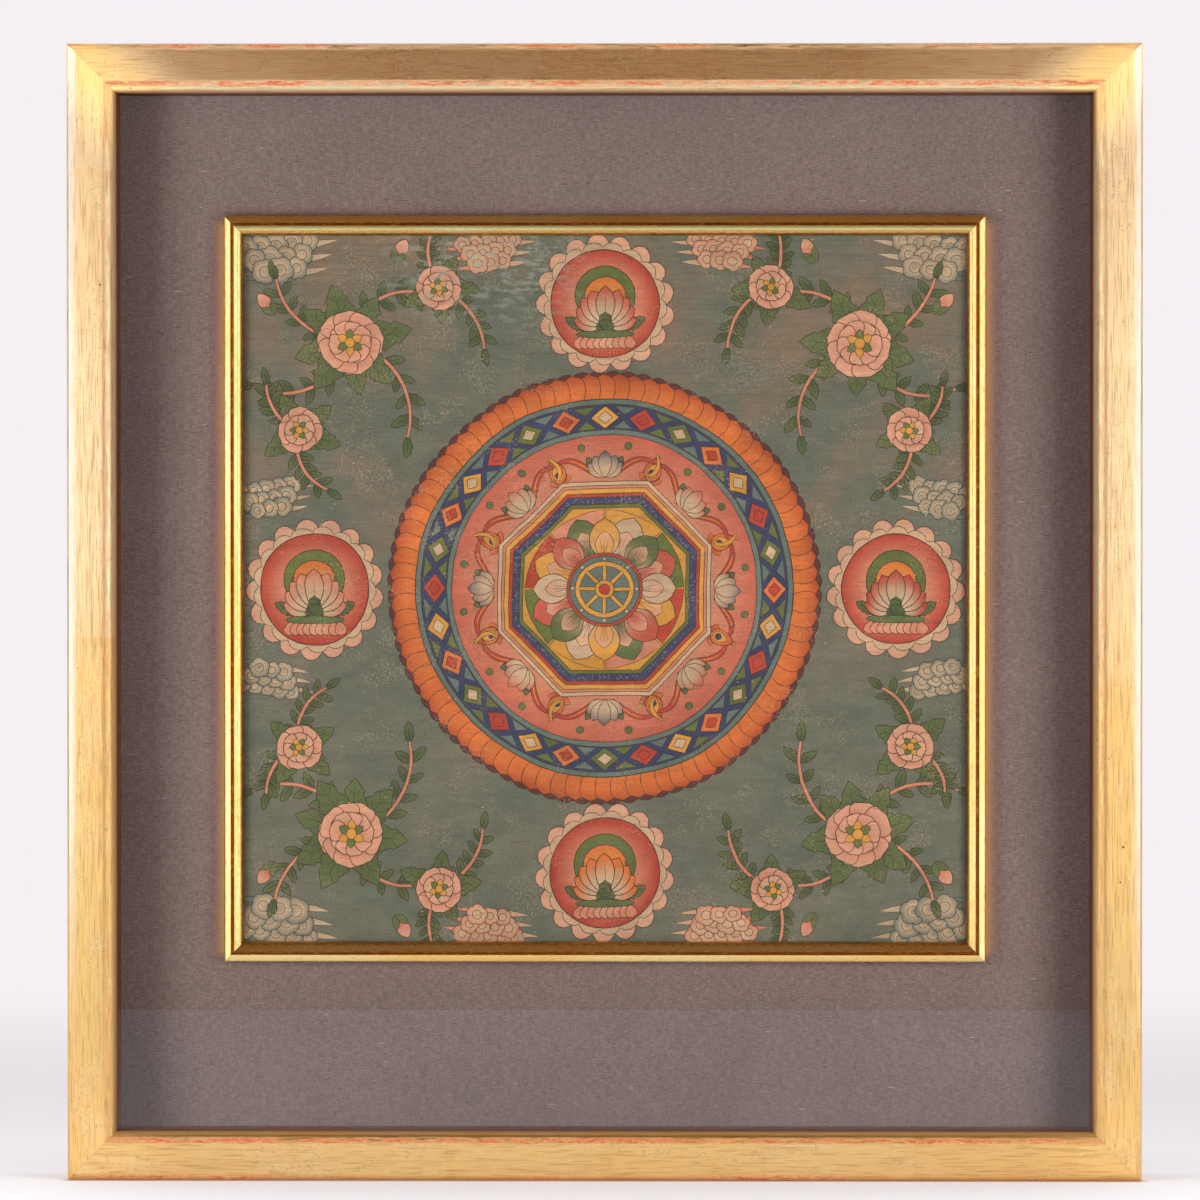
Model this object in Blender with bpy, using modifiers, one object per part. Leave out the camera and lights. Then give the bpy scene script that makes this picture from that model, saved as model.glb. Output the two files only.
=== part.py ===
"""A thangka painting on cloth, held by a gilded slip on a cloth-covered mount,
in a glazed box frame of gilded wood. The frame stands on its bottom rail.

X runs across, Y from the front (-Y) to the back (+Y) and Z up, in metres.
Every section is drawn as (inward, forward): how far it lies in from the outer
edge of its frame, and how far in front of the back of the box."""

import bmesh
import bpy
from math import cos, pi, radians, sin
from mathutils import Matrix, Vector

# The box frame
FRAME_WIDTH = 0.538
FRAME_HEIGHT = 0.569
FRAME_DEPTH = 0.042
RAIL_WIDTH = 0.0245
REBATE_WIDTH = 0.006
LIP_BACK = 0.0336
GAP = 0.0003

# What lies in the rebate, from the back
BOARD_BACK = 0.004
BOARD_THICKNESS = 0.003
MOUNT_THICKNESS = 0.002
GLASS_THICKNESS = 0.002

# The slip and the painting
SLIP_OUTER_WIDTH = 0.384
SLIP_OUTER_HEIGHT = 0.376
SLIP_WIDTH = 0.010
SLIP_BOTTOM = 0.108
SLIP_REBATE_WIDTH = 0.0063
SLIP_REBATE_DEPTH = 0.0018
PAINTING_THICKNESS = 0.0012
PAINTING_GRID = 30

# Slow swells of the painting's cloth: waves across, waves up, phase, height
PAINTING_SWELLS = (
    (0.5, 1.5, 0.4, 0.00016),
    (1.5, 2.5, 1.9, 0.00012),
    (2.0, 0.5, 3.3, 0.00010),
    (0.5, 4.5, 5.1, 0.00006),
)

# Depths that follow
MOUNT_BACK = BOARD_BACK + BOARD_THICKNESS + GAP
MOUNT_FRONT = MOUNT_BACK + MOUNT_THICKNESS
PAINTING_BACK = MOUNT_FRONT + GAP
GLASS_FRONT = LIP_BACK - GAP
GLASS_BACK = GLASS_FRONT - GLASS_THICKNESS
REBATE_WALL = RAIL_WIDTH - REBATE_WIDTH

FRAME_CENTRE = Vector((0, 0, FRAME_HEIGHT / 2))
SLIP_CENTRE = Vector((0, 0, SLIP_BOTTOM + SLIP_OUTER_HEIGHT / 2))
SIDES = ("bottom", "left", "top", "right")


def clear_scene():
    for old in list(bpy.data.objects):
        bpy.data.objects.remove(old, do_unlink=True)


def principled(name, colour, roughness, metallic=0.0, transmission=0.0):
    """One Principled material for a finish."""
    finish = bpy.data.materials.new(name)
    finish.use_nodes = True
    shader = finish.node_tree.nodes["Principled BSDF"]
    shader.inputs["Base Color"].default_value = (*colour, 1)
    shader.inputs["Roughness"].default_value = roughness
    shader.inputs["Metallic"].default_value = metallic
    shader.inputs["Transmission Weight"].default_value = transmission
    return finish


def oval_arc(centre, radii, start_deg, end_deg, steps):
    """Points on a round stretch of a section, as wide and as high as radii say."""
    angles = [radians(start_deg + (end_deg - start_deg) * i / steps) for i in range(steps + 1)]
    return [(centre[0] + radii[0] * cos(a), centre[1] + radii[1] * sin(a)) for a in angles]


def bowed(start, end, rise, steps):
    """Points from start up to end, bowed out from the straight by rise."""
    run = Vector(end) - Vector(start)
    out = Vector((-run.y, run.x)).normalized()
    shares = [i / steps for i in range(1, steps)]
    inner = [tuple(Vector(start) + run * t + out * rise * 4 * t * (1 - t)) for t in shares]
    return [start, *inner, end]


def rail_section():
    """Rounded outer edge, broad face, soft arris, bevel, steep sight edge and,
    behind the lip, the rebate for the glass."""
    crown = FRAME_DEPTH
    outer_edge = oval_arc((0.0038, crown - 0.0058), (0.0038, 0.0034), 180, 105, 7)
    face_end = (0.0186, crown)
    bevel = [(0.0193, crown - 0.00016), (0.0198, crown - 0.00045), (0.0223, crown - 0.0015)]
    sight_edge = (RAIL_WIDTH, crown - 0.0051)
    return [
        (0, 0),
        *outer_edge[:-1],
        *bowed(outer_edge[-1], face_end, 0.0003, 6),
        *bevel[:-1],
        *bowed(bevel[-1], sight_edge, 0.0005, 5),
        (RAIL_WIDTH, LIP_BACK),
        (REBATE_WALL, LIP_BACK),
        (REBATE_WALL, 0),
    ]


def slip_section():
    """An outer facet that looks outwards, a narrow groove, an inner facet that
    looks inwards and a slope down to the painting, whose edge the rebate covers."""
    outer_facet = bowed((0.0004, 0.0056), (0.0037, 0.0069), 0.00018, 4)
    groove = [(0.0040, 0.0065), (0.0046, 0.0063), (0.0051, 0.0064)]
    inner_facet = bowed((0.0054, 0.0068), (0.0077, 0.0060), 0.00018, 4)
    slope = bowed((0.0082, 0.0055), (SLIP_WIDTH, 0.0026), 0.0003, 3)
    foot = SLIP_WIDTH - SLIP_REBATE_WIDTH
    section = [
        (0, 0),
        (0, 0.0050),
        *outer_facet,
        *groove,
        *inner_facet,
        *slope,
        (SLIP_WIDTH, SLIP_REBATE_DEPTH),
        (foot, SLIP_REBATE_DEPTH),
        (foot, 0),
    ]
    return [(inward, forward + PAINTING_BACK) for inward, forward in section]


def spacer_section():
    """A plain strip between the mount and the glass, flush with the sight edge."""
    back, front = MOUNT_FRONT + GAP, GLASS_BACK - GAP
    outer = REBATE_WALL + GAP
    return [(outer, back), (outer, front), (RAIL_WIDTH, front), (RAIL_WIDTH, back)]


def section_mesh(name, section, length):
    """The section drawn out to a straight length, as one closed mesh."""
    curve = bpy.data.curves.new(name, "CURVE")
    curve.dimensions = "2D"
    curve.fill_mode = "BOTH"
    curve.extrude = length / 2
    outline = curve.splines.new("POLY")
    outline.points.add(len(section) - 1)
    for point, (inward, forward) in zip(outline.points, section, strict=True):
        point.co = (inward, forward, 0, 1)
    outline.use_cyclic_u = True

    drawn = bpy.data.objects.new(name, curve)
    bpy.context.scene.collection.objects.link(drawn)
    bpy.context.view_layer.update()
    evaluated = drawn.evaluated_get(bpy.context.evaluated_depsgraph_get())
    mesh = bpy.data.meshes.new_from_object(evaluated)
    mesh.name = name
    bpy.data.objects.remove(drawn)
    bpy.data.curves.remove(curve)
    return mesh


def mitre(mesh, length):
    """Cuts both ends at 45 degrees, half a gap back from the corner's line."""
    shape = bmesh.new()
    shape.from_mesh(mesh)
    bmesh.ops.remove_doubles(shape, verts=shape.verts, dist=0.00001)
    for end in (-1, 1):
        cut = bmesh.ops.bisect_plane(
            shape,
            geom=[*shape.verts, *shape.edges, *shape.faces],
            plane_co=(0, 0, end * (length / 2 - GAP * cos(pi / 4))),
            plane_no=(1, 0, end),
            clear_outer=True,
        )
        rim = [edge for edge in cut["geom_cut"] if isinstance(edge, bmesh.types.BMEdge)]
        bmesh.ops.contextual_create(shape, geom=rim)
    bmesh.ops.recalc_face_normals(shape, faces=shape.faces)
    shape.to_mesh(mesh)
    shape.free()


def mitred_frame(prefix, section, width, height, centre, finish, collection):
    """Four lengths of one section, mitred, one on each side of the centre."""
    drawn_upright = Matrix(((0, 0, 1), (0, -1, 0), (1, 0, 0)))
    for turn, side in enumerate(SIDES):
        length, reach = (width, height / 2) if turn % 2 == 0 else (height, width / 2)
        mesh = section_mesh(f"{prefix}_{side}", section, length)
        mitre(mesh, length)
        mesh.materials.append(finish)
        piece = bpy.data.objects.new(f"{prefix}_{side}", mesh)
        around = Matrix.Rotation(turn * pi / 2, 3, "Y")
        piece.rotation_euler = (around @ drawn_upright).to_euler()
        piece.location = centre + around @ Vector((0, FRAME_DEPTH / 2, -reach))
        mesh.shade_smooth()
        mesh.set_sharp_from_angle(angle=radians(30))
        collection.objects.link(piece)


def into(collection, piece):
    """Moves a new object from the scene's own collection to the given one."""
    for other in piece.users_collection:
        other.objects.unlink(piece)
    collection.objects.link(piece)


def panel(name, back, thickness, finish, collection):
    """A flat sheet that fills the rebate from edge to edge."""
    width = FRAME_WIDTH - 2 * (REBATE_WALL + GAP)
    height = FRAME_HEIGHT - 2 * (REBATE_WALL + GAP)
    bpy.ops.mesh.primitive_cube_add(size=1)
    sheet = bpy.context.object
    sheet.name = sheet.data.name = name
    sheet.data.transform(Matrix.Diagonal((width, thickness, height, 1)))
    sheet.location = FRAME_CENTRE + Vector((0, FRAME_DEPTH / 2 - back - thickness / 2, 0))
    sheet.data.materials.append(finish)
    into(collection, sheet)


def swell(across, up):
    """How far the painting's cloth stands forward of flat, from 0 at its edge.
    across and up run from -1 to 1."""
    edge_fade = (1 - across**4) * (1 - up**4)
    waves = sum(
        height * (1 + sin(pi * (waves_across * across + waves_up * up) + phase))
        for waves_across, waves_up, phase, height in PAINTING_SWELLS
    )
    return edge_fade * waves


def painting(finish, collection):
    """The painted cloth, its edge under the slip and its face a little uneven."""
    covered = SLIP_REBATE_WIDTH - 2 * GAP
    half_width = SLIP_OUTER_WIDTH / 2 - SLIP_WIDTH + covered
    half_height = SLIP_OUTER_HEIGHT / 2 - SLIP_WIDTH + covered
    bpy.ops.mesh.primitive_grid_add(
        x_subdivisions=PAINTING_GRID, y_subdivisions=PAINTING_GRID, size=2
    )
    cloth = bpy.context.object
    cloth.name = cloth.data.name = "painting_cloth"
    for vertex in cloth.data.vertices:
        across, up = vertex.co.x, vertex.co.y
        vertex.co = (across * half_width, -swell(across, up), up * half_height)
    cloth.location = SLIP_CENTRE + Vector((0, FRAME_DEPTH / 2 - PAINTING_BACK, 0))
    cloth.data.materials.append(finish)
    cloth.data.shade_smooth()
    thickness = cloth.modifiers.new("Thickness", "SOLIDIFY")
    thickness.thickness = PAINTING_THICKNESS
    thickness.offset = 1
    into(collection, cloth)


def build():
    clear_scene()
    collection = bpy.data.collections.new("framed_thangka_painting")
    bpy.context.scene.collection.children.link(collection)

    gilding = principled("gilded_wood", (0.78, 0.55, 0.26), 0.32, metallic=0.9)
    slip_gilding = principled("gilded_slip", (0.86, 0.60, 0.25), 0.22, metallic=1.0)
    strip_wood = principled("dark_strip", (0.10, 0.06, 0.035), 0.6)
    clear_glass = principled("clear_glass", (1, 1, 1), 0.02, transmission=1.0)
    mount_weave = principled("taupe_cloth", (0.19, 0.145, 0.135), 0.9)
    painted = principled("painted_cloth", (0.33, 0.25, 0.16), 0.8)
    fibreboard = principled("fibreboard", (0.24, 0.15, 0.09), 0.85)

    frame_size = (FRAME_WIDTH, FRAME_HEIGHT, FRAME_CENTRE)
    slip_size = (SLIP_OUTER_WIDTH, SLIP_OUTER_HEIGHT, SLIP_CENTRE)
    mitred_frame("rail", rail_section(), *frame_size, gilding, collection)
    mitred_frame("spacer", spacer_section(), *frame_size, strip_wood, collection)
    mitred_frame("slip", slip_section(), *slip_size, slip_gilding, collection)

    panel("back_board", BOARD_BACK, BOARD_THICKNESS, fibreboard, collection)
    panel("mount_cloth", MOUNT_BACK, MOUNT_THICKNESS, mount_weave, collection)
    panel("glass", GLASS_BACK, GLASS_THICKNESS, clear_glass, collection)
    painting(painted, collection)


build()
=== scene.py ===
"""A thangka painting on cloth in its gilded slip, mount and glazed box frame.

The sections follow the framer's bench: the covered mount, the painting laid on it, the slip that
holds the painting, the gilded rails, the glass, the spacers behind it and the board that closes the
back. Lengths are in metres, and those of the painter's drawing in millimetres."""

import bmesh
import bpy
import random
from functools import reduce
from math import atan2, ceil, cos, degrees, log, pi, radians, sin
from mathutils import Matrix, Vector, noise
from mathutils.bvhtree import BVHTree
from mathutils.geometry import delaunay_2d_cdt


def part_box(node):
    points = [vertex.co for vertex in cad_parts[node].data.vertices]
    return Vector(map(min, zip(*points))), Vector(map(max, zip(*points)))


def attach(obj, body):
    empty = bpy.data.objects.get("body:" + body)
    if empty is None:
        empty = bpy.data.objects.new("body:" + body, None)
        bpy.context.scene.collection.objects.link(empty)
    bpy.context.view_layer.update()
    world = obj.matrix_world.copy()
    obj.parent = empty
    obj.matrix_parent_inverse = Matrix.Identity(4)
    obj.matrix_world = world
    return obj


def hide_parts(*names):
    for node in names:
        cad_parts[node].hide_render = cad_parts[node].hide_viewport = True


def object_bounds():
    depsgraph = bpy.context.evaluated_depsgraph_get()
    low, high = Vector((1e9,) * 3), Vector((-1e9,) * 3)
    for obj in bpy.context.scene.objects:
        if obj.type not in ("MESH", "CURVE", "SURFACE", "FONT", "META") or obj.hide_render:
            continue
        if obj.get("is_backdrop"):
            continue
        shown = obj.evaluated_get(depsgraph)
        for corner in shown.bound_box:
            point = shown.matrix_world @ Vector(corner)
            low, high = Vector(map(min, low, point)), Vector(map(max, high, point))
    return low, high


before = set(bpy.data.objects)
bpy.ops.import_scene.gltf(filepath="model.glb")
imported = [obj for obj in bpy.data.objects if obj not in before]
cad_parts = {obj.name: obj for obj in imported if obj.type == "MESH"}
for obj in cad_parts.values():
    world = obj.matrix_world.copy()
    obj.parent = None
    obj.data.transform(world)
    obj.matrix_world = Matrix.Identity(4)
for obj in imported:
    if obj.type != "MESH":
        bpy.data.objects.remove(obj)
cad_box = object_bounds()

# The mount: a stiff board covered with a taupe cloth of plain weave. Its weft yarn is uneven, so
# short slubs stand out in it, a little darker, and some lint has settled on it under the glass.


def srgb(red, green, blue):
    """A colour from 0 to 255, as seen, turned into the light that a surface gives back."""
    shares = [channel / 255 for channel in (red, green, blue)]
    return (*[s / 12.92 if s <= 0.04045 else ((s + 0.055) / 1.055) ** 2.4 for s in shares], 1.0)


class Wiring:
    """Nodes of one tree, wired as they are made. A kind's name leaves out the tree's own prefix."""

    def __init__(self, tree, prefix):
        self.tree = tree
        self.prefix = prefix

    def feed(self, node, inputs):
        """Gives a node's sockets plain values or wires."""
        for socket, value in inputs.items():
            if isinstance(value, bpy.types.NodeSocket):
                self.tree.links.new(value, node.inputs[socket])
            else:
                node.inputs[socket].default_value = value

    def node(self, kind, inputs, output=0, **settings):
        full = kind if kind.startswith(("ShaderNode", "FunctionNode")) else self.prefix + kind
        made = self.tree.nodes.new(full)
        for setting, choice in settings.items():
            setattr(made, setting, choice)
        self.feed(made, inputs)
        return made.outputs[output]

    def math(self, operation, first, second=0.0):
        return self.node("ShaderNodeMath", {0: first, 1: second}, operation=operation)

    def times(self, *factors):
        return reduce(lambda product, factor: self.math("MULTIPLY", product, factor), factors)

    def plus(self, *terms):
        return reduce(lambda total, term: self.math("ADD", total, term), terms)

    def minus(self, first, second):
        return self.math("SUBTRACT", first, second)

    def apart(self, value, middle):
        """How far a value is from the middle, to either side."""
        return self.math("ABSOLUTE", self.minus(value, middle))

    def vector(self, operation, first, second=(0, 0, 0)):
        return self.node("ShaderNodeVectorMath", {0: first, 1: second}, operation=operation)

    def scaled(self, vector, by):
        return self.node("ShaderNodeVectorMath", {0: vector, "Scale": by}, operation="SCALE")

    def parts(self, vector):
        """The three parts of a vector."""
        split = self.node("ShaderNodeSeparateXYZ", {0: vector}).node
        return split.outputs[0], split.outputs[1], split.outputs[2]

    def step(self, value, start, end, low=0.0, high=1.0):
        """Goes smoothly from low to high while value goes from start to end."""
        ends = {"Value": value, "From Min": start, "From Max": end, "To Min": low, "To Max": high}
        return self.node("ShaderNodeMapRange", ends, interpolation_type="SMOOTHSTEP")

    def grain(self, place, size, detail=2.0, rough=0.5):
        """Cloudy noise around 0.5, in lumps of about this size."""
        texture = {"Vector": place, "Scale": 1 / size, "Detail": detail, "Roughness": rough}
        return self.node("ShaderNodeTexNoise", texture)


class Finish(Wiring):
    """A surface whose coats are laid one over another."""

    def __init__(self, name, roughness, metallic=0.0):
        self.material = bpy.data.materials.new(name)
        self.material.use_nodes = True
        super().__init__(self.material.node_tree, "ShaderNode")
        self.surface = self.tree.nodes["Principled BSDF"]
        self.feed(self.surface, {"Roughness": roughness, "Metallic": metallic})

    def place(self, stretch=(1, 1, 1), attribute=""):
        """Where a spot lies on the piece, or in its attribute, stretched along the axes."""
        if attribute:
            spot = self.node("Attribute", {}, "Vector", attribute_name=attribute)
        else:
            spot = self.node("TexCoord", {}, "Object")
        return self.vector("MULTIPLY", spot, stretch)

    def over(self, share, below, above):
        """One colour over another, as far as share says."""
        return self.node("Mix", {0: share, 6: below, 7: above}, 2, data_type="RGBA")

    def relief(self, *heights):
        """Raises the surface by each pair of a height from 0 to 1 and a depth in metres."""
        wires = {}
        for height, depth in heights:
            wires.update({"Height": height, "Distance": depth, "Strength": 1.0})
            wires["Normal"] = self.node("Bump", wires)
        self.feed(self.surface, {"Normal": wires["Normal"]})


def close_behind(shape, back):
    """Gives an open front a straight edge down to the plane y = back, and closes it there."""
    rim = [edge for edge in shape.edges if edge.is_boundary]
    pulled = bmesh.ops.extrude_edge_only(shape, edges=rim)["geom"]
    for vertex in [item for item in pulled if isinstance(item, bmesh.types.BMVert)]:
        vertex.co.y = back
    foot = [item for item in pulled if isinstance(item, bmesh.types.BMEdge)]
    behind = bmesh.ops.contextual_create(shape, geom=foot)["faces"]
    bmesh.ops.recalc_face_normals(shape, faces=shape.faces)
    return behind


def put_in(name, data):
    """A new object in the scene."""
    item = bpy.data.objects.new(name, data)
    bpy.context.scene.collection.objects.link(item)
    return item


def made_plain(draft, name):
    """Turns an object and its modifiers into one plain mesh."""
    evaluated = draft.evaluated_get(bpy.context.evaluated_depsgraph_get())
    mesh = bpy.data.meshes.new_from_object(evaluated)
    mesh.name = name
    piece = put_in(name, mesh)
    bpy.data.objects.remove(draft)
    return piece


def set_up(draft, tree, values):
    """Hangs a tree on a draft as a modifier and sets its named inputs."""
    modifier = draft.modifiers.new(tree.name, "NODES")
    modifier.node_group = tree
    for item in tree.interface.items_tree:
        if item.in_out == "INPUT" and item.name in values:
            modifier[item.identifier] = values[item.name]


def new_tree(name, inputs):
    """An empty making tree with a geometry socket at both ends and these inputs."""
    tree = bpy.data.node_groups.new(name, "GeometryNodeTree")
    tree.interface.new_socket("Geometry", in_out="OUTPUT", socket_type="NodeSocketGeometry")
    tree.interface.new_socket("Geometry", in_out="INPUT", socket_type="NodeSocketGeometry")
    for label, kind in inputs.items():
        tree.interface.new_socket(label, in_out="INPUT", socket_type="NodeSocket" + kind)
    making = Wiring(tree, "GeometryNode")
    given = tree.nodes.new("NodeGroupInput").outputs
    return making, given


def finish_tree(making, geometry, material):
    """Ends a tree in real geometry with its material."""
    real = making.node("RealizeInstances", {"Geometry": geometry})
    dressed = making.node("SetMaterial", {"Geometry": real, "Material": material})
    making.feed(making.tree.nodes.new("NodeGroupOutput"), {0: dressed})


def slub_tree():
    """Spindle-shaped slubs scattered over the cloth's front, each lying along the weft."""
    inputs = {"Slubs a Square Metre": "Float", "Longest": "Float", "Thickness": "Float"}
    making, given = new_tree("slubs_in_the_weft", {**inputs, "Seed": "Int", "Finish": "Material"})
    facing = making.parts(making.node("InputNormal", {}))[1]
    spots = making.node(
        "DistributePointsOnFaces",
        {
            "Mesh": given["Geometry"],
            "Selection": making.math("LESS_THAN", facing, -0.9),
            "Density": given["Slubs a Square Metre"],
            "Seed": given["Seed"],
        },
    )
    chance = making.node("FunctionNodeRandomValue", {"Seed": given["Seed"]}, 1)
    long = making.times(making.math("POWER", chance, 2.2), given["Longest"])
    half = making.times(making.plus(long, 0.0006), 0.5)
    thin = making.times(given["Thickness"], 0.5)
    size = making.node("ShaderNodeCombineXYZ", {0: half, 1: making.times(thin, 0.6), 2: thin})
    spindle = making.node("MeshIcoSphere", {"Radius": 1.0, "Subdivisions": 1})
    laid = making.node("InstanceOnPoints", {"Points": spots, "Instance": spindle, "Scale": size})
    shade = making.node("FunctionNodeRandomValue", {"Seed": 5}, 1)
    dyed = making.node(
        "StoreNamedAttribute",
        {"Geometry": laid, "Name": "dye", "Value": shade},
        domain="INSTANCE",
    )
    both = making.node("JoinGeometry", {"Geometry": dyed})
    making.tree.links.new(given["Geometry"], both.node.inputs[0])
    finish_tree(making, both, given["Finish"])
    return making.tree


WEFT_YARN = 0.00045
WARP_YARN = 0.00050
GLOW_REACH = 0.0095


def mount_finish():
    """Taupe yarn, thread by thread, with darker slubs, and a painted glow of light from the slip's gilding
    beside the slip.
    """
    cloth = Finish("taupe_mount_weave", 0.92)
    step, over, times = cloth.step, cloth.over, cloth.times
    weft = cloth.grain(cloth.place((0.14, 1, 1)), WEFT_YARN, 1)
    warp = cloth.grain(cloth.place((1, 1, 0.22)), WARP_YARN, 1)
    cloudy = cloth.grain(cloth.place(), 0.045, 2)
    depth = cloth.plus(times(weft, 0.55), times(warp, 0.35), times(cloudy, 0.12))
    yarn = over(step(depth, 0.33, 0.69), srgb(92, 77, 74), srgb(119, 102, 98))
    dye = cloth.node("Attribute", {}, "Fac", attribute_name="dye")
    slub = over(step(dye, 0.94, 0.96), srgb(80, 62, 57), srgb(156, 142, 136))
    yarn = over(step(dye, 0.05, 0.30), yarn, slub)
    low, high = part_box("slip_left")[0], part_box("slip_right")[1]
    half_high = (high.z - low.z) / 2
    across, _, up = cloth.parts(cloth.place())
    away = cloth.minus(cloth.apart(across, (low.x + high.x) / 2), (high.x - low.x) / 2)
    level = cloth.apart(up, (low.z + high.z) / 2)
    # Painted glow: warm orange in the cloth's colour beside the slip's sides, for light thrown back by its
    # gilding.
    painted_glow = cloth.math("POWER", step(away, GLOW_REACH, -0.002), 2.0)
    yarn = over(times(painted_glow, step(level, half_high, half_high - 0.006)), yarn, srgb(176, 130, 88))
    cloth.feed(cloth.surface, {"Base Color": yarn, "Sheen Weight": 0.15, "Sheen Roughness": 0.5})
    cloth.feed(cloth.surface, {"Specular IOR Level": 0.2})
    cloth.relief((weft, 0.00014), (warp, 0.00010))
    return cloth.material


MOUNT_GRID = 0.0027
MOUNT_UNEVEN = 0.00006
low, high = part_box("mount_cloth")
columns, rows = ceil((high.x - low.x) / MOUNT_GRID), ceil((high.z - low.z) / MOUNT_GRID)
shape = bmesh.new()
bmesh.ops.create_grid(shape, x_segments=columns, y_segments=rows, size=0.5)
for vertex in shape.verts:
    across, up = vertex.co.x + 0.5, vertex.co.y + 0.5
    spot = Vector((low.x + across * (high.x - low.x), low.y, low.z + up * (high.z - low.z)))
    inside = 0 < across < 1 and 0 < up < 1
    spot.y += MOUNT_UNEVEN * (1 + noise.noise(spot * 60)) * inside
    vertex.co = spot
close_behind(shape, high.y)
mount_mesh = bpy.data.meshes.new("mount_cover")
shape.to_mesh(mount_mesh)
shape.free()
draft = put_in("mount_draft", mount_mesh)
slubs = {"Slubs a Square Metre": 11000.0, "Longest": 0.0055, "Thickness": 0.00034, "Seed": 3}
set_up(draft, slub_tree(), {**slubs, "Finish": mount_finish()})
mount = made_plain(draft, "mount_cover")
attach(mount, "root")
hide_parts("mount_cloth")

# The painting: mineral colours in glue on primed cotton, laid from the ground up with a brush and
# then drawn round in ink. Long use has rubbed, creased and browned it. It lies flat on the mount.

PIGMENTS = {
    "ground": srgb(101, 107, 101),
    "ink": srgb(66, 54, 48),
    "orange": srgb(196, 112, 64),
    "rust": srgb(160, 76, 50),
    "plum": srgb(92, 58, 60),
    "blue": srgb(64, 70, 100),
    "green": srgb(98, 110, 64),
    "leaf": srgb(92, 106, 72),
    "deep_leaf": srgb(66, 84, 62),
    "red": srgb(166, 72, 60),
    "salmon": srgb(192, 130, 108),
    "rose": srgb(180, 92, 78),
    "ochre": srgb(196, 146, 72),
    "cream": srgb(186, 164, 138),
    "petal": srgb(198, 152, 130),
    "teal": srgb(98, 116, 112),
    "lilac": srgb(140, 134, 150),
}


def polar(radius, degrees):
    return Vector((radius * cos(radians(degrees)), radius * sin(radians(degrees))))


def disc(centre, radius):
    steps = max(14, int(radius * 1.7))
    return [Vector(centre) + polar(radius, 360 * i / steps) for i in range(steps)]


def scallops(centre, radius, bumps, bulge, turn=0):
    """A round outline of little humps, such as a cloud's."""
    steps = bumps * 5
    humps = [radius + bulge * abs(sin(pi * bumps * i / steps)) ** 0.7 for i in range(steps)]
    return [Vector(centre) + polar(hump, turn + 360 * i / steps) for i, hump in enumerate(humps)]


def banded(sides, radius, each=7):
    """A regular outline of straight sides, each in a few stretches."""
    corners = [polar(radius / cos(pi / sides), 360 * (i + 0.5) / sides) for i in range(sides)]
    ends = zip(corners, corners[1:] + corners[:1])
    return [start.lerp(end, j / each) for start, end in ends for j in range(each)]


def lobe(foot, heading, length, width, belly=0.6, blunt=0.6, teeth=0, steps=8):
    """A petal or leaf from foot along heading. It is widest at belly, a share of its length,
    rounder at the tip for a smaller blunt, and has teeth on each side if asked."""
    ahead = polar(1, heading)
    side = Vector((-ahead.y, ahead.x))
    skew = log(0.5) / log(belly)
    right, left = [], []
    for i in range(1, steps):
        share = i / steps
        half = width / 2 * sin(pi * share**skew) ** blunt
        half *= 1 - 0.34 * (share * teeth % 1)
        right.append(Vector(foot) + ahead * length * share - side * half)
        left.append(Vector(foot) + ahead * length * share + side * half)
    return [Vector(foot), *right, Vector(foot) + ahead * length, *reversed(left)]


def curl(start, heading, length, bend, bend_end=None, steps=9):
    """A path that sets out along heading and bends by some degrees a millimetre."""
    path = [Vector(start)]
    bend_end = bend if bend_end is None else bend_end
    for i in range(steps):
        path.append(path[-1] + polar(length / steps, heading))
        heading += (bend + (bend_end - bend) * (i + 0.5) / steps) * length / steps
    return path


def widened(outline, by):
    """An outline moved outwards by so many millimetres."""
    grown = []
    for i, spot in enumerate(outline):
        run = outline[(i + 1) % len(outline)] - outline[i - 1]
        grown.append(spot + Vector((run.y, -run.x)).normalized() * by)
    return grown


class Brush:
    """The painter's shapes, in millimetres from the middle of the painting, lowest first."""

    def __init__(self):
        self.washes = []
        self.place = Matrix.Identity(3)

    def put(self, spot):
        return (self.place @ Vector((*spot, 1))).xy

    def wash(self, outline, pigment, rim="", heart=(0, 0), reach=(0, 1), line=0.42):
        """One wash in an ink line, turning to rim's pigment over a reach from heart."""
        if line:
            self.wash(widened(outline, line), "ink", line=0)
        outline = [self.put(spot) for spot in outline]
        if self.place.determinant() < 0:
            outline.reverse()
        self.washes.append((outline, pigment, rim or pigment, self.put(heart), reach))

    def stroke(self, path, width=0.42, pigment="ink", line=0, ends=0.3):
        """A brush line, thinner at its ends."""
        right, left = [], []
        last = len(path) - 1
        for i, spot in enumerate(path):
            run = path[min(i + 1, last)] - path[max(i - 1, 0)]
            half = width / 2 * (ends + (1 - ends) * sin(pi * i / last))
            side = Vector((-run.y, run.x)).normalized() * half
            right.append(spot - side)
            left.append(spot + side)
        self.wash([*right, *reversed(left)], pigment, line=line)


def leaf(brush, foot, heading, length, bend=0):
    """A toothed leaf with its midrib and side veins."""
    outline = lobe(foot, heading, length, length * 0.55, 0.42, 0.75, teeth=4, steps=17)
    brush.wash(outline, "deep_leaf", "leaf", foot, (0, length * 0.8))
    brush.stroke(curl(foot, heading, length * 0.86, bend, steps=4), 0.4)
    for share in (0.28, 0.5, 0.7):
        for side in (-1, 1):
            start = Vector(foot) + polar(length * share, heading)
            brush.stroke(curl(start, heading + side * 48, length * 0.19, -side * 2, steps=3), 0.3)


def sprig(brush, foot, heading, length):
    """A small toothed leaf with only its midrib."""
    outline = lobe(foot, heading, length, length * 0.5, 0.42, 0.75, 3, 10)
    brush.wash(outline, "deep_leaf", "leaf", foot, (0, length))
    brush.stroke(curl(foot, heading, length * 0.8, 0, steps=3), 0.3)


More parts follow.
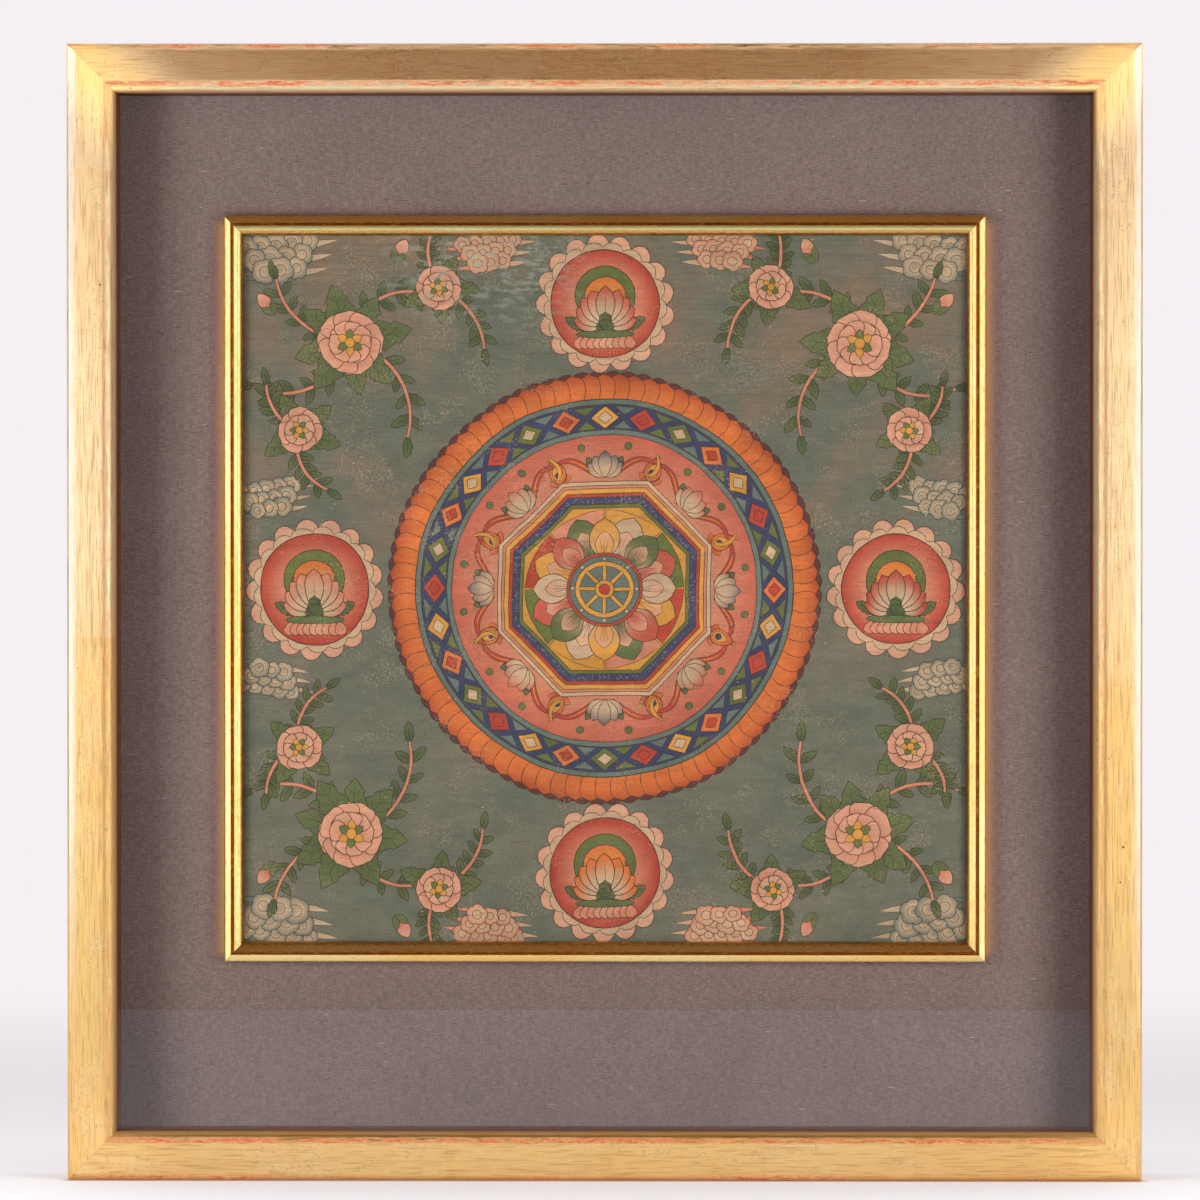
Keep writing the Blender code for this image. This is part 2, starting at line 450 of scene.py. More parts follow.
def spray(brush, start, heading, length, bend, size):
    """A rosy stem with small leaves in pairs and one at its tip."""
    path = curl(start, heading, length, bend, steps=12)
    for i in range(2, 12, 2):
        run = path[i + 1] - path[i]
        ahead = degrees(atan2(run.y, run.x))
        for side in (-1, 1):
            sprig(brush, path[i], ahead + side * rng.uniform(40, 62), size * rng.uniform(0.8, 1.1))
    sprig(brush, path[-1], ahead, size)
    brush.stroke(path, 1.5, "salmon", 0.3, ends=0.7)


def blossom(brush, centre, radius, petals, turn, tint="salmon"):
    """An open flower seen from the front, pale at its rim, with a green and ochre heart."""
    centre = Vector(centre)
    for share, width, shift, inner in ((1.0, 0.98, 0.0, "rose"), (0.66, 0.62, 0.5, tint)):
        for k in range(petals):
            heading = turn + 360 * (k + shift) / petals + rng.uniform(-3, 3)
            long = radius * share * rng.uniform(0.93, 1.05)
            outline = lobe(centre, heading, long, radius * width, 0.72, 0.42, steps=9)
            brush.wash(outline, inner, "petal", centre, (long * 0.35, long * 0.85))
            for lean in (-9, 0, 9):
                start = centre + polar(long * 0.62, heading + lean)
                brush.stroke([start, start + polar(long * 0.2, heading + lean * 1.3)], 0.26, "rose")
    for k in range(6):
        sepal = lobe(centre, turn + 60 * k + 20, radius * 0.42, radius * 0.24, 0.55, 0.8, steps=6)
        brush.wash(sepal, "green" if k % 2 else "ochre", line=0.32)
    brush.wash(disc(centre, radius * 0.15), "ochre", line=0.35)


def bud(brush, foot, heading, length):
    """A closed flower in its green cup."""
    tip = Vector(foot) + polar(length * 0.25, heading)
    petals = lobe(tip, heading, length * 0.8, length * 0.5, 0.5, 0.7)
    brush.wash(petals, "rose", "petal", tip, (0, length * 0.7))
    for lean in (-24, 24):
        cup = lobe(foot, heading + lean, length * 0.62, length * 0.26, 0.5, 0.8, steps=6)
        brush.wash(cup, "leaf", line=0.32)


def cloud_bank(brush, start, heading, size, tint):
    """Three rows of curled humps, each row before the last, over long pale tails."""
    ahead = polar(1, heading)
    side = Vector((ahead.y, -ahead.x))
    for row, humps in enumerate((5, 4, 3)):
        rise = side * size * 0.9 * row
        tail = Vector(start) + ahead * size * (row * 0.5 - 2.2) + rise + side * size * 0.35
        outline = lobe(tail, heading, size * (humps + 3.6), size * 0.55, 0.5, 0.5)
        brush.wash(outline, "cream", tint, tail, (0, 30), line=0.3)
        for k in range(humps):
            centre = Vector(start) + ahead * size * (1.15 * k + 0.55 * row) + rise
            radius = size * rng.uniform(0.62, 0.82)
            outline = scallops(centre, radius, 5, radius * 0.22, rng.uniform(0, 72))
            brush.wash(outline, "cream", tint, centre, (radius * 0.5, radius * 1.3), line=0.36)
            brush.wash(disc(centre, radius * 0.5), tint, "cream", centre, (0, radius * 0.6), line=0.32)


def lotus(brush, foot, size, tint):
    """A lotus in side view, its outer petals behind the middle one."""
    foot = Vector(foot)
    for lean in (82, 62, 42, 22, 0):
        for side in (-1, 1) if lean else (1,):
            long = size * (1 - 0.0024 * lean)
            heading = 90 + side * lean
            outline = lobe(foot, heading, long, size * 0.46, 0.55, 0.62)
            brush.wash(outline, "cream", tint, foot, (long * 0.45, long * 0.95))
            brush.stroke(curl(foot + polar(long * 0.25, heading), heading, long * 0.5, 0, steps=2), 0.28)
    for lean in (-58, -30, 0, 30, 58):
        under = foot + Vector((lean * size * 0.004, -size * 0.1))
        outline = lobe(under, 90 + lean * 1.15, size * 0.42, size * 0.26, 0.5, 0.7, steps=6)
        brush.wash(outline, "deep_leaf", "leaf", foot, (0, size * 0.4), line=0.34)


def lotus_seat(brush, centre, width):
    """A row of pale turned-down petals under a green cushion."""
    centre = Vector(centre)
    for k in range(9):
        x = (k - 4) / 4.6 * width / 2
        outline = lobe(centre + Vector((x * 0.86, 1.5)), 270 + x * 1.1, 6.2, 5.2, 0.62, 0.5, steps=7)
        brush.wash(outline, "petal", "salmon", centre, (2, 8), line=0.34)
    turns = [radians(a) for a in range(0, 360, 18)]
    cushion = [centre + Vector((cos(a) * width * 0.46, 2.4 + sin(a) * 1.7)) for a in turns]
    brush.wash(cushion, "leaf", line=0.34)


def medallion(brush, centre, turn, tint, halo):
    """A lotus before a halo on a rosy disc, in a scalloped border."""
    brush.place = Matrix(((1.08, 0, centre[0]), (0, 1.08, centre[1]), (0, 0, 1)))
    brush.wash(scallops((0, 0), 28.6, 17, 4.0, turn), "cream", "petal", reach=(26, 33))
    brush.wash(scallops((0, 0), 26.4, 17, 2.6, turn + 6), "salmon", "cream", reach=(24, 29), line=0.34)
    brush.wash(disc((0, 0), 25.4), "salmon", "red", reach=(15, 26), line=0.5)
    brush.wash(disc((0, 4.0), 14.0), halo, "green", (0, 4), (4, 14))
    lotus_seat(brush, (0, -16.5), 30)
    brush.wash(disc((0, 3.0), 10.0), "ochre", "orange", (0, 3), (2, 10), line=0.36)
    for side in (-1, 1):
        brush.stroke(curl((side * 3, -13), 90 - side * 66, 22, side * 6, side * 2), 1.3, "leaf", 0.3)
        leaf(brush, (side * 9, -11.5), 90 - side * 62, 11)
    lotus(brush, (0, -9.5), 18.5, tint)
    brush.place = Matrix.Identity(3)


def flower_corner(brush):
    """Three flowers in leaves on rosy stems, with banks of cloud at the painting's edge."""
    cloud_bank(brush, (150, 176), -8, 7.0, "teal")
    cloud_bank(brush, (46, 176), -4, 5.6, "salmon")
    cloud_bank(brush, (158, 52), -10, 5.4, "teal")
    great, outer, upper = (128, 124), (154, 80), (84, 152)
    for start, heading, length, bend, size in (
        (great, 196, 62, 1.5, 10.0),
        (great, -70, 62, 1.6, 10.0),
        (great, 100, 56, 2.0, 9.5),
        (great, 6, 54, 1.4, 9.5),
        (upper, 205, 40, 1.6, 8.5),
        (outer, -78, 36, -2.2, 8.5),
        (outer, 20, 30, 2.4, 8.5),
        (upper, 60, 30, 1.8, 8.0),
    ):
        spray(brush, start, heading, length, bend, size)
    for foot, leaves in (
        (great, ((-18, 31), (32, 30), (66, 30), (118, 29), (172, 31), (222, 30), (262, 29), (306, 31))),
        (outer, ((60, 20), (140, 21), (205, 21), (318, 21))),
        (upper, ((125, 20), (185, 21), (262, 20), (330, 21))),
    ):
        for heading, length in leaves:
            leaf(brush, foot, heading + rng.uniform(-6, 6), length * rng.uniform(0.9, 1.05))
    bud(brush, (166, 138), 50, 13)
    bud(brush, (106, 164), 118, 13)
    blossom(brush, great, 17, 9, 10)
    blossom(brush, outer, 11.5, 7, 40, "cream")
    blossom(brush, upper, 11.5, 7, 0, "cream")


def petal_ring(brush, outer, inner, count):
    """Overlapping petals all round, each over the one before it."""
    brush.wash(scallops((0, 0), outer - 0.6, count, 1.5), "plum", line=0.5)
    for k in range(count):
        angle = 360 * k / count
        long = (outer - inner + 4) * rng.uniform(0.97, 1.01)
        outline = lobe(polar(inner - 4, angle), angle + 3, long, 11.0, 0.66, 0.36, steps=8)
        brush.wash(outline, "orange", "rust", reach=(outer - 7, outer), line=0.32)
        start = polar(inner + 1.5 + rng.uniform(0, 4), angle + 1.2)
        brush.stroke(curl(start, angle + 6, 6.0, 1.2, steps=3), 0.3, "rust")


def lozenge_band(brush, outer, inner, count):
    """Lozenges and small triangles in turn on blue, between two grey-green lines."""
    brush.wash(disc((0, 0), outer + 2.6), "teal", line=0.5)
    brush.wash(disc((0, 0), outer), "blue", line=0.4)
    middle = (outer + inner) / 2
    for k in range(count):
        angle, half = 360 * k / count, 128 / count
        tint = ("orange", "green", "red", "ochre")[k % 4]
        for grow, colour in ((1.0, tint), (0.52, "cream" if k % 2 else "red")):
            reach = (outer - inner) / 2 * 0.86 * grow
            corners = [polar(middle - reach, angle), polar(middle, angle - half * grow)]
            corners += [polar(middle + reach, angle), polar(middle, angle + half * grow)]
            corners.reverse()
            sides = zip(corners, corners[1:] + corners[:1])
            outline = [a.lerp(b, j / 3) for a, b in sides for j in range(3)]
            brush.wash(outline[::-1], colour, line=0.34)
        for edge, tip in ((outer - 0.9, middle + 1.6), (inner + 0.9, middle - 1.6)):
            between = angle + 180 / count
            ends = [polar(edge, between + half * 0.7), polar(tip, between), polar(edge, between - half * 0.7)]
            order = ends if edge > middle else ends[::-1]
            brush.wash(order, "green" if k % 2 else "teal", line=0.3)
    brush.wash(disc((0, 0), inner), "teal", line=0.4)


def jewel(brush, radius, angle):
    """A flaming jewel that points outwards on a small lotus."""
    foot = polar(radius, angle)
    for lean in (-70, -38, 38, 70):
        petal = lobe(foot, angle + lean, 6.4, 3.4, 0.5, 0.8, steps=6)
        brush.wash(petal, "red", "orange", foot, (1, 6), line=0.3)
    brush.wash(lobe(foot, angle, 12.5, 8.0, 0.42, 0.7), "orange", "red", foot, (5, 12), line=0.36)
    brush.wash(lobe(foot + polar(1.4, angle), angle, 7.5, 5.0, 0.42, 0.6), "ochre", line=0.3)
    brush.wash(disc(foot + polar(4.2, angle), 1.5), "blue", line=0.25)


def scroll_ground(brush, outer, inner):
    """Lotus buds and jewels in turn on rose, joined by red and ochre scrolls."""
    brush.wash(disc((0, 0), outer), "salmon", "rose", reach=(outer - 22, outer + 6), line=0.4)
    for k in range(8):
        angle = 45 * k
        for side in (-1, 1):
            start = polar(inner + 4, angle + side * 4)
            path = curl(start, angle + side * 50, 25, side * -1.0, side * 9.0, steps=12)
            brush.stroke(path, 2.6, "red", 0.34, ends=0.25)
            brush.stroke(path[1:9], 0.5, "ochre", ends=0.5)
            start = polar(inner + 8, angle + side * 20)
            path = curl(start, angle + side * 96, 15, side * -13.0, side * -3.0, steps=9)
            brush.stroke(path, 1.7, "ochre", 0.3)
            brush.wash(disc(polar(outer - 5, angle + side * 9.5), 1.7), "leaf", line=0.3)
            leaf(brush, polar(inner + 5, angle + side * 3), angle + side * 34, 11)
        for lean in (-52, 52, -28, 28, 0):
            foot = polar(inner + 4, angle)
            outline = lobe(foot, angle + lean, 13.5 - abs(lean) * 0.05, 6.2, 0.55, 0.65, steps=7)
            brush.wash(outline, "cream", "red" if k % 2 else "blue", foot, (6, 14), line=0.34)
        jewel(brush, inner + 6, angle + 22.5)


def court(brush):
    """Straight bands about the heart: cream, ochre, red, speckled blue and green."""
    for radius, pigment in (
        *((53.5, "cream"), (51.5, "salmon"), (50, "ochre"), (47.6, "red")),
        *((45.8, "blue"), (42.2, "green"), (40.4, "ochre")),
    ):
        brush.wash(banded(8, radius), pigment, line=0.36)
    for _ in range(210):
        side, along, depth = rng.randrange(8), rng.uniform(-17, 17), rng.uniform(43.0, 45.1)
        turn = 45 * side
        spot = polar(depth, turn) + polar(along, turn + 90)
        brush.stroke(curl(spot, rng.uniform(0, 360), rng.uniform(0.7, 1.6), 30, steps=3), 0.3, "lilac")
    for k in range(8):
        wedge = [polar(40.0, 45 * k + 1)]
        wedge += [polar(39.4, 45 * k + a) for a in (12, 22.5, 33)]
        wedge += [polar(40.0, 45 * k + 44), polar(20, 45 * k + 44), polar(20, 45 * k + 1)]
        brush.wash(wedge, ("green", "ochre", "salmon", "red")[k % 4], line=0.32)


def heart(brush):
    """Eight lotus petals round a wheel of eight spokes."""
    for ring, (long, width, shift) in enumerate(((22, 17, 22.5), (19.5, 15, 0))):
        for k in range(8):
            angle = 45 * k + shift
            foot = polar(16, angle)
            tint = ("rose", "cream", "leaf", "ochre")[(k + ring) % 4]
            brush.wash(lobe(foot, angle, long, width, 0.5, 0.62), "cream", tint, foot, (2, long * 0.7))
            inner = lobe(foot, angle, long * 0.68, width * 0.58, 0.5, 0.66)
            brush.wash(inner, tint, "petal", foot, (3, long * 0.7), line=0.3)
            for lean in (-12, 0, 12):
                brush.stroke(curl(foot, angle + lean, long * 0.5, 0, steps=3), 0.26)
    for radius, pigment in ((18.5, "red"), (17.0, "teal"), (14.2, "ochre"), (11.8, "teal")):
        brush.wash(disc((0, 0), radius), pigment, line=0.36)
    for k in range(8):
        brush.stroke([polar(2, 45 * k), polar(7, 45 * k), polar(12.6, 45 * k)], 1.7, "ochre", 0.3, ends=0.7)
        brush.wash(disc(polar(15.6, 45 * k), 0.8), "cream", line=0.25)
    brush.wash(disc((0, 0), 4.6), "ochre", line=0.36)
    brush.wash(disc((0, 0), 2.6), "red", line=0.3)


def drawn_by_hand(spot):
    """The small waver of a drawing made by hand."""
    far = noise.noise_vector(Vector((spot.x * 0.021, spot.y * 0.021, 3)))
    near = noise.noise_vector(Vector((spot.x * 0.14, spot.y * 0.14, 9)))
    return spot + far.xy * 1.5 + near.xy * 0.3


rng = random.Random(11)
noise.seed_set(11)
brush = Brush()
for across, up in ((1, 1), (-1, 1), (-1, -1), (1, -1)):
    brush.place = Matrix(((across, 0, 0), (0, up, 0), (0, 0, 1)))
    flower_corner(brush)
brush.place = Matrix.Identity(3)
petal_ring(brush, 108, 94, 84)
lozenge_band(brush, 92.5, 80, 28)
scroll_ground(brush, 77.4, 52)
court(brush)
heart(brush)
medallion(brush, (0, 143.5), 0, "rose", "leaf")
medallion(brush, (0, -143.5), 4, "orange", "teal")
medallion(brush, (146.5, 0), 8, "red", "leaf")
medallion(brush, (-146.5, 0), 2, "salmon", "green")

# The swells are those of the solid: waves across, waves up, phase and height
CLOTH_SWELLS = (
    (0.5, 1.5, 0.4, 0.00016),
    (1.5, 2.5, 1.9, 0.00012),
    (2.0, 0.5, 3.3, 0.00010),
    (0.5, 4.5, 5.1, 0.00006),
)
CLOTH_THICKNESS = 0.0012
CLOTH_GRID_MM = 4.4
low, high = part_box("painting_cloth")
half_width, half_height = (high.x - low.x) / 2, (high.z - low.z) / 2
painting_middle = (low.z + high.z) / 2
edge_mm = (half_width * 1000, half_height * 1000)


def cloth_front(across, up):
    """How far forward the painted face lies at a share of its half width and height."""
    waves = sum(h * (1 + sin(pi * (a * across + u * up) + p)) for a, u, p, h in CLOTH_SWELLS)
    return high.y - CLOTH_THICKNESS - (1 - across**4) * (1 - up**4) * waves


def laid_out(washes):
    """Flat triangles that follow every painted edge that shows, and each one's top wash."""
    wide, tall = edge_mm
    sheet = [Vector((-wide, -tall)), Vector((wide, -tall)), Vector((wide, tall)), Vector((-wide, tall))]
    spots, shapes = list(sheet), [[0, 1, 2, 3]]
    for outline, *_ in washes:
        shapes.append(list(range(len(spots), len(spots) + len(outline))))
        spots.extend(drawn_by_hand(spot) for spot in outline)
    flat, _, faces, _, _, sources = delaunay_2d_cdt(spots, [], shapes, 1, 1e-4, True)
    faces, tops = zip(*((face, max(above)) for face, above in zip(faces, sources) if 0 in above))

    beside = {}
    for face, top in zip(faces, tops):
        for start, end in zip(face, [*face[1:], face[0]]):
            beside.setdefault((min(start, end), max(start, end)), []).append(top)
    lines = [line for line, near in beside.items() if len(near) == 1 or near[0] != near[1]]
    shown = sorted({end for line in lines for end in line})
    number = {old: new for new, old in enumerate(shown)}
    spots = [flat[i] for i in shown]
    columns, rows = ceil(2 * wide / CLOTH_GRID_MM), ceil(2 * tall / CLOTH_GRID_MM)
    for i in range(1, columns):
        for j in range(1, rows):
            spots.append(Vector((wide * (2 * i / columns - 1), tall * (2 * j / rows - 1))))
    lines = [(number[start], number[end]) for start, end in lines]
    below = BVHTree.FromPolygons([spot.to_3d() for spot in flat], faces)
    flat, _, faces, _, _, _ = delaunay_2d_cdt(spots, lines, [], 0, 1e-4, False)
    found = []
    for face in faces:
        middle = sum((flat[i] for i in face), Vector((0, 0))) / 3
        found.append(below.ray_cast(middle.to_3d() + Vector((0, 0, 1)), Vector((0, 0, -1)))[2])
    kept = [(face, tops[under]) for face, under in zip(faces, found) if under is not None]
    return flat, *zip(*kept)


flat, faces, tops = laid_out(brush.washes)
shape = bmesh.new()
paint = shape.loops.layers.float_color.new("paint")
unwrapped = shape.loops.layers.uv.new("OFBake")
corners = []
for spot in flat:
    across, up = spot.x / edge_mm[0], spot.y / edge_mm[1]
    place = (spot.x / 1000, cloth_front(across, up), painting_middle + spot.y / 1000)
    corners.append(shape.verts.new(place))
hands = [1 + rng.uniform(-0.07, 0.07) for _ in brush.washes]
for face, top in zip(faces, tops):
    laid = shape.faces.new([corners[i] for i in face])
    for loop, i in zip(laid.loops, face):
        if top:
            _, pigment, rim, middle, reach = brush.washes[top - 1]
            share = ((flat[i] - middle).length - reach[0]) / (reach[1] - reach[0])
            share = min(max(share, 0), 1)
            mixed = Vector(PIGMENTS[pigment]).lerp(Vector(PIGMENTS[rim]), share)
            loop[paint] = (*(mixed.xyz * hands[top - 1]), 0)
        else:
            loop[paint] = PIGMENTS["ground"]
bmesh.ops.delete(shape, geom=[v for v in shape.verts if not v.link_faces], context="VERTS")
for face in shape.faces:
    for loop in face.loops:
        share = Vector((loop.vert.co.x / half_width, (loop.vert.co.z - painting_middle) / half_height))
        loop[unwrapped].uv = (0.5 + 0.49 * share.x, 0.515 + 0.475 * share.y)
for face in close_behind(shape, high.y):
    for loop in face.loops:
        loop[unwrapped].uv = (loop[unwrapped].uv.x, 0.01 + 0.015 * loop[unwrapped].uv.y)
painting_mesh = bpy.data.meshes.new("painted_cloth")
shape.to_mesh(painting_mesh)
shape.free()
painting_mesh.shade_smooth()
painting_mesh.set_sharp_from_angle(angle=radians(40))


CANVAS_YARN = 0.0006


def painted_finish():
    """Matt paint in glue: cloudy, browned at the top, rubbed to its chalk and finely cracked."""
    coat = Finish("painted_cotton", 0.82)
    step, over, times, grain = coat.step, coat.over, coat.times, coat.grain
    spot = coat.place()
    across, _, up = coat.parts(spot)
    up = coat.minus(up, painting_middle)
    pigment = coat.node("Attribute", {}, "Color", attribute_name="paint")
    bare = coat.node("Attribute", {}, "Alpha", attribute_name="paint")

    cloudy = grain(spot, 0.050, 3, 0.6)
    brushed = grain(coat.place((0.5, 1, 1)), 0.006, 3, 0.65)
    dust = grain(spot, 0.0011, 1, 0.7)

    browned = times(step(cloudy, 0.40, 0.66), step(up, -0.15, 0.16, 0.25, 1.0))
    earth = over(browned, srgb(101, 109, 99), srgb(122, 105, 90))
    paint_now = over(times(bare, 0.75), pigment, earth)
    light = coat.plus(step(cloudy, 0.3, 0.7, 0.90, 1.04), step(brushed, 0.3, 0.7, -0.11, 0.11))
    light = coat.plus(light, step(dust, 0.3, 0.7, -0.07, 0.07))
    paint_now = coat.scaled(paint_now, light)

    streaks = grain(coat.place((0.45, 1, 1)), 0.0035, 2, 0.7)
    rubbed = times(step(across, -0.135, -0.075), step(across, 0.0, -0.035), step(up, 0.118, 0.160))
    rubbed = times(rubbed, step(streaks, 0.47, 0.66), 0.55)
    paint_now = over(rubbed, paint_now, srgb(146, 158, 152))

    worn = times(step(grain(spot, 0.016, 2), 0.50, 0.66), step(dust, 0.52, 0.66), 0.35)
    paint_now = over(worn, paint_now, srgb(176, 154, 132))

    creases = grain(coat.place((0.06, 1, 1)), 0.0042, 3, 0.6)
    cracked = times(step(coat.apart(creases, 0.5), 0.016, 0.0), step(brushed, 0.42, 0.60), 0.42)
    paint_now = over(cracked, paint_now, srgb(78, 66, 58))

    cells = {"Vector": coat.place((1, 1, 1.6)), "Scale": 190.0, "Randomness": 1.0}
    flakes = step(coat.node("TexVoronoi", cells), 0.10, 0.05)
    flakes = times(flakes, step(grain(spot, 0.028, 2), 0.55, 0.66), 0.8)
    paint_now = over(flakes, paint_now, srgb(214, 200, 182))

    aged = coat.vector("MULTIPLY", paint_now, (0.80, 0.72, 0.64))
    matt = step(brushed, 0.3, 0.7, 0.74, 0.88)
    upright, level = coat.place((1, 1, 0.12)), coat.place((0.12, 1, 1))
    weave = times(grain(upright, CANVAS_YARN), grain(level, CANVAS_YARN))
    coat.feed(coat.surface, {"Base Color": aged, "Roughness": matt, "Specular IOR Level": 0.3})
    coat.relief((creases, 0.0011), (weave, 0.00022))
    return coat.material


painting_mesh.materials.append(painted_finish())
painting = put_in("painted_cloth", painting_mesh)
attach(painting, "root")
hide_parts("painting_cloth")

# The slip: a narrow wooden moulding with two facets and a groove, gilded bright, toned brown in the
# groove and mitred at the corners. Its rebate laps over the painting's edge and holds it down.

FILLED_JOINT = 0.00003
PAINTING_BACK = 0.0096
SLIP_WIDTH = 0.010
SLIP_REBATE_WIDTH = 0.0063
SLIP_REBATE_DEPTH = 0.0018


def oval_arc(centre, radii, start_deg, end_deg, steps):
    """Points on a round stretch of a section, as wide and as high as radii say."""
    angles = [radians(start_deg + (end_deg - start_deg) * i / steps) for i in range(steps + 1)]
    return [(centre[0] + radii[0] * cos(a), centre[1] + radii[1] * sin(a)) for a in angles]


def bowed(start, end, rise, steps):
    """Points from start up to end, bowed out from the straight by rise."""
    run = Vector(end) - Vector(start)
    out = Vector((-run.y, run.x)).normalized()
    shares = [i / steps for i in range(1, steps)]
    inner = [tuple(Vector(start) + run * t + out * rise * 4 * t * (1 - t)) for t in shares]
    return [start, *inner, end]


def slip_section():
    """The slip's section as (inward, forward) from its outer edge and the painting's back."""
    foot = SLIP_WIDTH - SLIP_REBATE_WIDTH
    section = [
        (0, 0),
        (0, 0.0050),
        (0.00012, 0.0054),
        *bowed((0.0004, 0.0056), (0.0034, 0.0068), 0.00010, 8),
        (0.0035, 0.00672),
        (0.0037, 0.0063),
        (0.0042, 0.0059),
        (0.0047, 0.0062),
        (0.0050, 0.0067),
        *bowed((0.0052, 0.0070), (0.0071, 0.00622), 0.00010, 7),
        *bowed((0.0073, 0.00608), (SLIP_WIDTH, 0.0026), 0.00080, 10),
        (SLIP_WIDTH, SLIP_REBATE_DEPTH),
        (foot, SLIP_REBATE_DEPTH),
        (foot, 0),
    ]
    return [(inward, forward + PAINTING_BACK) for inward, forward in section]


def moulding_tree():
    """Four lengths of one section, mitred and set around a centre. Each spot keeps its lay: how
    far inward, how far forward, and how far along its own side, a metre further for each side.
    It also keeps how far it is from the nearest mitre."""
    sizes = {"Width": "Float", "Height": "Float", "Gap": "Float", "Stretches": "Int"}
    hand = {"Centre": "Vector", "Unevenness": "Float", "Worked From": "Float", "Finish": "Material"}
    making, given = new_tree("mitred_moulding", {**sizes, **hand})
    outline = making.node("MeshToCurve", {"Mesh": given["Geometry"]})
    upright = Matrix(((0, 0, 1), (0, -1, 0), (1, 0, 0)))
    joined = making.tree.nodes.new("GeometryNodeJoinGeometry")
    for side in range(4):
        long, away = given["Width"], given["Height"]
        if side % 2:
            long, away = away, long
        half = making.times(long, 0.5)
        tip = making.node("ShaderNodeCombineXYZ", {2: half})
        line = making.node("CurvePrimitiveLine", {"Start": making.scaled(tip, -1.0), "End": tip})
        line = making.node("ResampleCurve", {"Curve": line, "Count": given["Stretches"]})
        drawn = making.node("CurveToMesh", {"Curve": line, "Profile Curve": outline, "Fill Caps": True})
        drawn = making.node("FlipFaces", {"Mesh": drawn})

        inward, forward, along = making.parts(making.node("InputPosition", {}))
        mitre_end = making.minus(making.minus(half, inward), given["Gap"])
        squeezed = making.times(along, making.math("DIVIDE", mitre_end, half))
        cut = making.node("ShaderNodeCombineXYZ", {0: inward, 1: forward, 2: squeezed})
        drawn = making.node("SetPosition", {"Geometry": drawn, "Position": cut})
        numbered = making.plus(along, float(side))
        lay = making.node("ShaderNodeCombineXYZ", {0: inward, 1: forward, 2: numbered})
        kept = {"Geometry": drawn, "Name": "lay", "Value": lay}
        drawn = making.node("StoreNamedAttribute", kept, data_type="FLOAT_VECTOR")
        from_mitre = making.minus(mitre_end, making.math("ABSOLUTE", along))
        kept = {"Geometry": drawn, "Name": "from_mitre", "Value": from_mitre}
        drawn = making.node("StoreNamedAttribute", kept)
        rough = making.grain(making.vector("MULTIPLY", lay, (1, 1, 0.3)), 0.006, 2)
        rough = making.times(making.minus(rough, 0.75), given["Unevenness"])
        worked = making.node("ShaderNodeSeparateXYZ", {0: lay}, 1)
        rough = making.times(rough, making.math("GREATER_THAN", worked, given["Worked From"]))
        offset = making.scaled(making.node("InputNormal", {}), rough)
        drawn = making.node("SetPosition", {"Geometry": drawn, "Offset": offset})

        around = Matrix.Rotation(side * pi / 2, 3, "Y")
        outwards = making.scaled(tuple(around @ Vector((0, 0, -0.5))), away)
        placing = {"Translation": making.vector("ADD", outwards, given["Centre"])}
        placing["Rotation"] = (around @ upright).to_euler()
        placed = making.node("Transform", {"Geometry": drawn, **placing})
        making.tree.links.new(placed, joined.inputs[0])
    finish_tree(making, joined.outputs[0], given["Finish"])
    return making.tree


MOULDING = moulding_tree()


def moulding(name, section, values):
    """A mitred frame of one section, as one plain mesh."""
    mesh = bpy.data.meshes.new(name)
    count = len(section)
    mesh.from_pydata([(*point, 0) for point in section], [(i, (i + 1) % count) for i in range(count)], [])
    draft = put_in(name + "_draft", mesh)
    set_up(draft, MOULDING, values)
    piece = made_plain(draft, name)
    piece.data.shade_smooth()
    piece.data.set_sharp_from_angle(angle=radians(28))
    return piece


def box_around(prefix):
    """The width, height and centre of the four pieces of a frame, at the back of the box."""
    corners = [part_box(f"{prefix}_{side}") for side in ("bottom", "left", "top", "right")]
    least = Vector([min(c[0][axis] for c in corners) for axis in range(3)])
    most = Vector([max(c[1][axis] for c in corners) for axis in range(3)])
    centre = (least + most) / 2
    return most.x - least.x, most.z - least.z, (centre.x, cad_back, centre.z)


def slip_finish():
    """Bright gold leaf with small flaws, toned brown in its groove, on yellow at its outer wall."""
    gold = Finish("slip_gold_leaf", 0.2)
    step, over, times = gold.step, gold.over, gold.times
    inward, forward, _ = gold.parts(gold.place(attribute="lay"))
    fine = gold.grain(gold.place((1, 1, 0.25), "lay"), 0.0009, 1, 0.6)
    broad = gold.grain(gold.place((1, 1, 0.2), "lay"), 0.012, 1)
    tone = over(step(broad, 0.35, 0.65), srgb(255, 212, 132), srgb(255, 226, 156))
    tone = over(step(fine, 0.62, 0.74, 0, 0.25), tone, srgb(206, 146, 70))

    in_groove = times(step(inward, 0.0033, 0.0038), step(inward, 0.0053, 0.0048))
    browned = gold.math("MAXIMUM", in_groove, step(inward, 0.0072, 0.0094, 0, 0.9))
    browned = times(browned, step(fine, 0.56, 0.68, 1.0, 0.45))
    tone = over(browned, tone, srgb(186, 128, 54))

    wall = times(step(inward, 0.0006, 0.0002), step(forward, 0.0150, 0.0144))
    tone = over(times(wall, 0.8), tone, srgb(226, 150, 66))
    polish = gold.plus(step(fine, 0.3, 0.7, 0.15, 0.26), times(browned, 0.16), times(wall, 0.3))
    gold.feed(gold.surface, {"Base Color": tone, "Roughness": polish})
    gold.feed(gold.surface, {"Metallic": gold.minus(1.0, times(wall, 0.75))})
    gold.relief((fine, 0.00002))
    return gold.material


